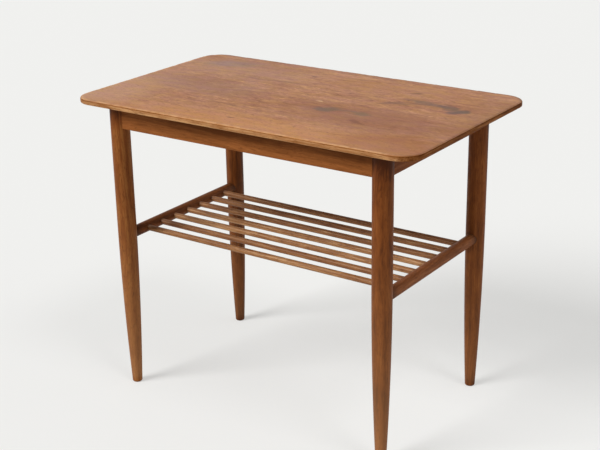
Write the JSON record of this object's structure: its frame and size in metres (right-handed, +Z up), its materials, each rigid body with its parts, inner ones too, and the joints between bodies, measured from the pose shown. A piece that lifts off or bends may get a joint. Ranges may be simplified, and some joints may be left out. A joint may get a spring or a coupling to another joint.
{
  "type": "side table",
  "caption": "Small teak side table with a round-cornered bevelled top, turned tapering legs, rails under the top and a slatted magazine shelf on round stretchers.",
  "frame": {"origin": "on the floor, under the middle of the top", "axes": "+X along the length of the top, +Y from the front to the back, +Z up"},
  "size_m": [0.67, 0.4, 0.54],
  "materials": {
    "core_board": "bare board, hidden",
    "teak_face_veneer": "oiled teak veneer, worn",
    "teak_backing_veneer": "oiled veneer",
    "teak_lipping": "oiled solid teak",
    "teak_leg": "turned and oiled solid teak",
    "teak_rail": "planed and oiled solid teak",
    "teak_stretcher": "turned and oiled solid teak",
    "teak_slat": "turned and oiled solid teak",
    "beech_dowel": "bare beech, hidden",
    "steel_screw": "plain steel"
  },
  "bodies": {
    "root": {"top_core": "core_board", "face_veneer": "teak_face_veneer", "backing_veneer": "teak_backing_veneer", "lipping_front": "teak_lipping", "lipping_back": "teak_lipping", "lipping_left": "teak_lipping", "lipping_right": "teak_lipping", "leg_front_left": "teak_leg", "leg_front_right": "teak_leg", "leg_back_left": "teak_leg", "leg_back_right": "teak_leg", "rail_front": "teak_rail", "rail_back": "teak_rail", "rail_left": "teak_rail", "rail_right": "teak_rail", "rail_dowels": "beech_dowel", "top_screws": "steel_screw", "stretcher_left": "teak_stretcher", "stretcher_right": "teak_stretcher", "slat_1": "teak_slat", "slat_2": "teak_slat", "slat_3": "teak_slat", "slat_4": "teak_slat", "slat_5": "teak_slat", "slat_6": "teak_slat", "slat_7": "teak_slat"}
  },
  "joints": []
}
